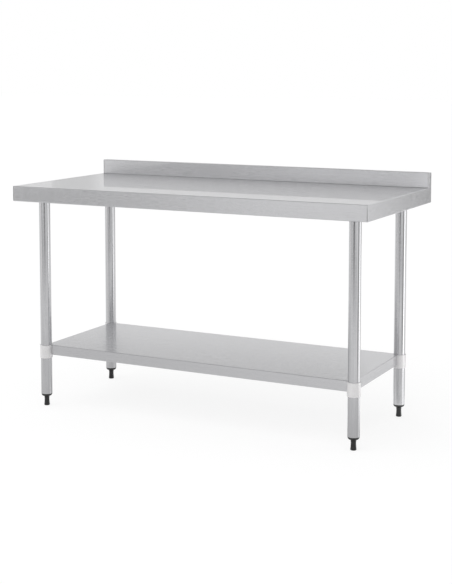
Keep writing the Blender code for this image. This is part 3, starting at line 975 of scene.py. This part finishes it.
foot = {
    "ring": 0.0102,
    "ringHigh": 0.007,
    "ringTop": 0.0006,  # roundings of the ring's edges
    "ringFoot": 0.0004,
    "waist": 0.0096,
    "waistDrop": 0.0012,
    "base": 0.0114,
    "sole": 0.003,      # radius of the sole's edge
    "hole": 0.0053,
    "holeFloor": 0.0119,
    "cup": 0.0072,      # radius of the shallow cup in the sole, and of its floor
    "cupFloor": 0.0066,
    "recess": 0.0008,   # its depth
    "sides": 96,
}


# The foot's section turned round Z: a ring, a waist that flares by the square of the drop to a
# round sole with a shallow cup, and the stud's hole from above.
def footMesh(sizes, high):
    ringLow = high - sizes["ringHigh"]
    waistHigh = ringLow - sizes["waistDrop"]
    ring = filleted([(sizes["hole"], high, 0), (sizes["ring"], high, sizes["ringTop"]),
                     (sizes["ring"], ringLow, sizes["ringFoot"]),
                     (sizes["waist"], waistHigh, 0)], 4)
    drop = np.linspace(0, 1, 14)[1:]
    radius = sizes["waist"] + (sizes["base"] - sizes["waist"]) * drop ** 2
    flare = np.stack([radius, waistHigh - (waistHigh - sizes["sole"]) * drop], -1)
    edge = quarterArc(sizes["base"] - sizes["sole"], 0, sizes["sole"])[1:]
    cup = [(sizes["cup"], 0), (sizes["cupFloor"], sizes["recess"]), (0, sizes["recess"])]
    hole = [(0, sizes["holeFloor"]), (sizes["hole"], sizes["holeFloor"])]
    profile = np.concatenate([hole, ring, flare, edge, cup])
    part = gridPart(turned(profile, sizes["sides"]), False, True)
    return meshOf([part])


# one plug and one foot, copied to each leg; a plug's skirt ends at its node's top
def makeFeet():
    plug = insertMesh(insert)
    body = footMesh(foot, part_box("foot_front_left")[1].z)
    for corner, axis in legAxes.items():
        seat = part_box(f"foot_insert_{corner}")[1].z - insert["depth"]
        mesh = placed(plug, axis + (0, 0, seat))
        name, node = f"plug_{corner}", f"foot_insert_{corner}"
        settle(name, mesh, "insert", "frame", "insert_plastic", node)
        name, node = f"footBody_{corner}", f"foot_{corner}"
        settle(name, placed(body, axis), "foot", node, "foot_plastic", node)


makeFeet()
print("feet turned")

nodeFinishes = {
    "channel": "galvanised",
    "leg_socket": "socket",
    "foot_nut": "zinc",
}


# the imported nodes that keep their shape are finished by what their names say
def finishNodes():
    for name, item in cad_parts.items():
        for part, finish in nodeFinishes.items():
            if part in name:
                item.data.materials.clear()
                item.data.materials.append(materials[finish])


finishNodes()

studio = {
    "zenith": 0.36,             # the ceiling's level, where the horizon is 1
    "clearSky": (0.35, 0.8),    # sines of the heights between which it falls
    "ambient": 0.74,            # the world's level for matt surfaces
    "seenGlow": 0.85,           # the floor's own white, as the camera sees it
    "seenMatt": 0.18,
    "litMatt": 0.8,             # its grey for the light it gives back
    "mirroredGlow": 0.84,       # and as metal shows it, with more of the table's shadow
    "mirroredMatt": 0.25,
    # painted shadow: the floor's glow for metal is lowered under and round the table
    "paintedShadowDepth": 0.27,          # how much the glow falls under the table
    "paintedShadowPool": (0.0, 1.6),         # metres out from its legs over which it comes back
    # painted shade: the floor's glow for metal is lowered in a band to the front left
    "paintedShadeDepth": 0.24,         # how much it falls to the front left
    "paintedShadeIn": (0.7, 1.0),      # metres in front of the middle over which that sets in
    "shadeOut": (1.3, 2.0),     # and ends
    "paintedShadeAlong": (-1.6, 1.0),  # and from left to right over which it goes
    # painted reflection: the strip lamp's light painted on the floor in a wedge from each leg
    "paintedGlare": 0.4,               # the strip lamp's reflection on the floor, as metal shows it
    "paintedGlareWide": 0.085,         # half its width as a share of the distance from a leg
    "rayEdge": 0.03,            # softness of its edges, in metres
    # painted shade: the right flag's dark reflection painted on the floor in a wedge from each leg
    "paintedFlagShade": 0.04,                # the right flag's dark reflection next to it
    "paintedFlagTurn": 96,              # degrees from +Y towards +X
    "paintedFlagWide": 0.16,
    "floorReach": 40.0,
}

# the soft overhead light only lights, and the strip at the right also shows in metal
lamps = {
    "overhead": {"level": 0.5, "softness": 75, "tilt": (18, -14)},
    "rightStrip": {"place": (1.85, 0.49, 0.86), "aim": (0, 0), "width": 0.24, "height": 1.7,
                   "watts": 1.4},
}


# 1 for rays from the camera, for those that metal and glass send on, and for either
def lightPath(graph):
    flags = graph.node("LightPath").socket.node.outputs
    camera, glossy, through = (Signal(graph.tree, flags[f"Is {kind} Ray"])
                               for kind in ("Camera", "Glossy", "Transmission"))
    mirrored = graph.maths("MINIMUM", glossy + through, 1.0)
    return camera, mirrored, graph.maths("MINIMUM", camera + mirrored, 1.0)


# white at the horizon, falling to the ceiling's level: level = 1 - (1 - zenith) * rise(height)
def makeWorld(sizes):
    world = bpy.data.worlds.new("studioWorld")
    bpy.context.scene.world = world
    world.use_nodes = True
    world.node_tree.nodes.clear()
    graph = Signal(world.node_tree)
    height = axes(graph.node("TexCoord", output="Generated"))[2]
    level = 1.0 - height.rise(*sizes["clearSky"]) * (1.0 - sizes["zenith"])
    direct = lightPath(graph)[2]
    strength = direct + (1.0 - direct) * sizes["ambient"]
    colour = mixedColour(level, grey(0.0), grey(1.0))
    sky = graph.node("Background", {"Color": colour, "Strength": strength})
    graph.node("OutputWorld", {"Surface": sky})


# 1 on the floor in a wedge that opens from a point along a direction, with a soft edge where
# across = along * half, and 0 outside it
def wedge(x, y, point, direction, half, edge):
    outX, outY = x - point[0], y - point[1]
    along = outX * direction[0] + outY * direction[1]
    across = outX * direction[1] - outY * direction[0]
    beside = across.size() - along * half
    return (1.0 - beside.rise(0.0, edge)) * along.rise(0.0, edge)


# A pale floor: partly matt, so that it keeps the table's shadow, and partly its own white. In metal
# its white is mirroredGlow less a painted shadow pool under the table and a painted shade to the
# front left, plus a painted reflection of the strip lamp and less a painted dark reflection of the
# right flag, the last two in a wedge from each leg.
def makeFloor(sizes):
    corners = np.array([(-1, -1, 0), (1, -1, 0), (1, 1, 0), (-1, 1, 0)]) * sizes["floorReach"]
    mesh = bpy.data.meshes.new("floor")
    mesh.from_pydata(corners.tolist(), [], [[0, 1, 2, 3]])
    material, graph = newMaterial("paleFloor")
    camera, mirrored, direct = lightPath(graph)
    seen = mixedColour(mirrored, grey(sizes["seenMatt"]), grey(sizes["mirroredMatt"]))
    colour = mixedColour(direct, grey(sizes["litMatt"]), seen)
    matt = graph.node("BsdfDiffuse", {"Color": colour})
    x, y, z = ownCoordinates(graph)
    # painted shadow: the table's shadow pool, painted into the floor's glow as metal shows it
    outX, outY = (graph.maths("MAXIMUM", along.size() - half, 0.0)
                  for along, half in zip((x, y), legAxes["back_right"]))
    square = outX * outX + outY * outY
    away = square.maths("SQRT", square)
    paintedShadowPool = (1.0 - away.rise(*sizes["paintedShadowPool"])) * sizes["paintedShadowDepth"]
    # painted shade: a darker band to the front left, painted into the floor's glow as metal shows
    # it
    ahead = 0.0 - y
    front = ahead.rise(*sizes["paintedShadeIn"]) * (1.0 - ahead.rise(*sizes["shadeOut"]))
    shade = front * (1.0 - x.rise(*sizes["paintedShadeAlong"])) * sizes["paintedShadeDepth"]
    # painted reflection of the strip lamp and painted shade of the right flag: wedges on the floor
    # from each leg, as metal shows it
    strip = np.array(lamps["rightStrip"]["place"])[:2]
    turn, edge = np.radians(sizes["paintedFlagTurn"]), sizes["rayEdge"]
    flagged = np.array((np.sin(turn), np.cos(turn)))
    paintedWedges = []
    for axis in legAxes.values():
        towards = (strip - axis[:2]) / np.linalg.norm(strip - axis[:2])
        paintedWedges.append(wedge(x, y, axis, towards, sizes["paintedGlareWide"], edge) * sizes["paintedGlare"])
        paintedWedges.append(wedge(x, y, axis, flagged, sizes["paintedFlagWide"], edge) * -sizes["paintedFlagShade"])
    shown = sum(paintedWedges, sizes["mirroredGlow"] - paintedShadowPool - shade)
    strength = camera * sizes["seenGlow"] + mirrored * shown
    glow = graph.node("Emission", {"Color": grey(1.0), "Strength": strength})
    both = graph.node("AddShader", {0: matt, 1: glow})
    graph.node("OutputMaterial", {"Surface": both})
    linked("floor", mesh, material)


# Curved grey cards round the table, seen in metal only. Each has its turns from +Y towards +X in
# degrees, its heights, its level, the soft share at each end and at its foot and top, its radius
# and how much higher its last end stands than its first.
cards = {
    "frontCard": ((184, 230), (0.3, 0.76), 0.51, (0.85, 0.12), (0.3, 0.25), 3.0, 0),
    "upperFrontCard": ((194, 236), (0.94, 1.24), 0.79, (0.4, 0.35), (0.12, 0.03), 3.04, -0.09),
    "crestCard": ((170, 246), (1.262, 1.72), 0.57, (0.2, 0.75), (0.015, 0.95), 3.06, -0.15),
    "rightGlow": ((178, 214), (0.75, 1.245), 1.5, (0.08, 0.42), (0.2, 0.02), 3.02, -0.07),
    "endGlow": ((176.0, 189.5), (1.0, 1.25), 2.6, (0.1, 0.3), (0.3, 0.05), 3.01, 0),
    "lowFrontCard": ((112, 226), (0.0, 0.46), 0.66, (0.15, 0.15), (0.0, 0.2), 3.08, 0),
    "backCard": ((296, 362), (0.45, 1.9), 1.0, (0.12, 0.12), (0.12, 0.25), 3.12, 0),
    "cornerShade": ((150, 183), (0.2, 0.9), 0.15, (0.15, 0.15), (0.2, 0.25), 3.05, 0),
    "leftStreak": ((312.6, 319.0), (1.02, 1.3), 0.72, (0.12, 0.35), (0.2, 0.2), 3.1, 0),
    "shelfShade": ((306, 352), (0.72, 1.06), 0.62, (0.1, 0.1), (0.8, 0.15), 3.11, 0.22),
    "sideCard": ((8, 40.3), (0.2, 1.0), 0.37, (0.3, 0.455), (0.2, 0.25), 3.2, 0),
    "rightFlag": ((85, 109), (0.0, 0.86), 0.5, (0.2, 0.2), (0.0, 0.1), 1.9, 0),
}
cardGrid = 25, 3  # points along a card and up it


# 1 inside a card and 0 at its rim: rise(share / soft) from each end, multiplied
def softened(share, soft):
    first, last = np.maximum(soft, 0.001)
    return share.rise(0.0, first) * (1.0 - share).rise(0.0, last)


# a card's points: (radius sin a, radius cos a, height + lean * share of the turn)
def makeCards():
    columns, rows = cardGrid
    for name, (turn, height, level, endSoft, rimSoft, radius, lean) in cards.items():
        angle = np.radians(np.linspace(*turn, columns))
        rise = np.linspace(*height, rows)[:, None] + np.linspace(0, lean, columns)
        sides = radius * np.sin(angle), radius * np.cos(angle), rise
        points = np.stack(np.broadcast_arrays(*sides), -1)
        mesh = bpy.data.meshes.new(name)
        flat, faces = gridPart(points)
        mesh.from_pydata(flat.tolist(), [], faces)
        shares = np.meshgrid(np.linspace(0, 1, columns), np.linspace(0, 1, rows))
        share = np.stack(shares, -1).reshape(-1, 2)
        corners = np.zeros(len(mesh.loops), int)
        mesh.loops.foreach_get("vertex_index", corners)
        mesh.uv_layers.new(name="card").data.foreach_set("uv", share[corners].ravel())
        material, graph = newMaterial(name)
        material.cycles.emission_sampling = "NONE"
        along, up, _ = axes(graph.node("UVMap", None, {"uv_map": "card"}))
        clear = graph.node("BsdfTransparent", {"Color": grey(1.0)})
        own = graph.node("Emission", {"Color": grey(1.0), "Strength": level})
        cover = softened(along, endSoft) * softened(up, rimSoft)
        both = graph.node("MixShader", {0: cover, 1: clear, 2: own})
        graph.node("OutputMaterial", {"Surface": both})
        card = linked(name, mesh, material)
        for ray in ("camera", "diffuse", "shadow", "transmission"):
            setattr(card, "visible_" + ray, False)


# a light and its object, never in the camera's view
def makeLamp(name, kind, shownInMetal):
    light = bpy.data.lights.new(name, kind)
    lamp = bpy.data.objects.new(name, light)
    bpy.context.scene.collection.objects.link(lamp)
    lamp.visible_camera = False
    lamp.visible_glossy = shownInMetal
    return light, lamp


# the sun's strength is pi times its level, so that a white matt face towards it has that level
def makeLamps():
    sizes = lamps["overhead"]
    light, lamp = makeLamp("overhead", "SUN", False)
    light.energy = sizes["level"] * math.pi
    light.angle = math.radians(sizes["softness"])
    lamp.rotation_euler = (*np.radians(sizes["tilt"]), 0)
    sizes = lamps["rightStrip"]
    light, lamp = makeLamp("rightStrip", "AREA", True)
    light.shape = "RECTANGLE"
    light.size = sizes["width"]
    light.size_y = sizes["height"]
    light.energy = sizes["watts"]
    lamp.location = sizes["place"]
    x, y = np.array(sizes["aim"]) - sizes["place"][:2]
    lamp.rotation_euler = (math.pi / 2, 0, math.atan2(-x, y))


# the camera's place in metres, its turn left of +Y and its dip in radians
view = {
    "place": (2.2742, -4.4188, 1.386),
    "left": 0.4712,
    "dip": 0.0884,
    "lens": 77.92,  # millimetres, in front of a sensor 36 wide
    "shift": -0.2,
    "clip": 200.0,
}


# the camera, turned left and dipped from a level look along +Y
def makeCamera(sizes):
    data = bpy.data.cameras.new("camera")
    data.lens = sizes["lens"]
    data.shift_y = sizes["shift"]
    data.clip_end = sizes["clip"]
    camera = bpy.data.objects.new("camera", data)
    bpy.context.scene.collection.objects.link(camera)
    camera.location = sizes["place"]
    camera.rotation_euler = (math.pi / 2 - sizes["dip"], 0, sizes["left"])
    bpy.context.scene.camera = camera


makeWorld(studio)
makeFloor(studio)
makeCards()
makeLamps()
makeCamera(view)
bpy.context.scene.view_settings.view_transform = "Standard"
print("studio set")
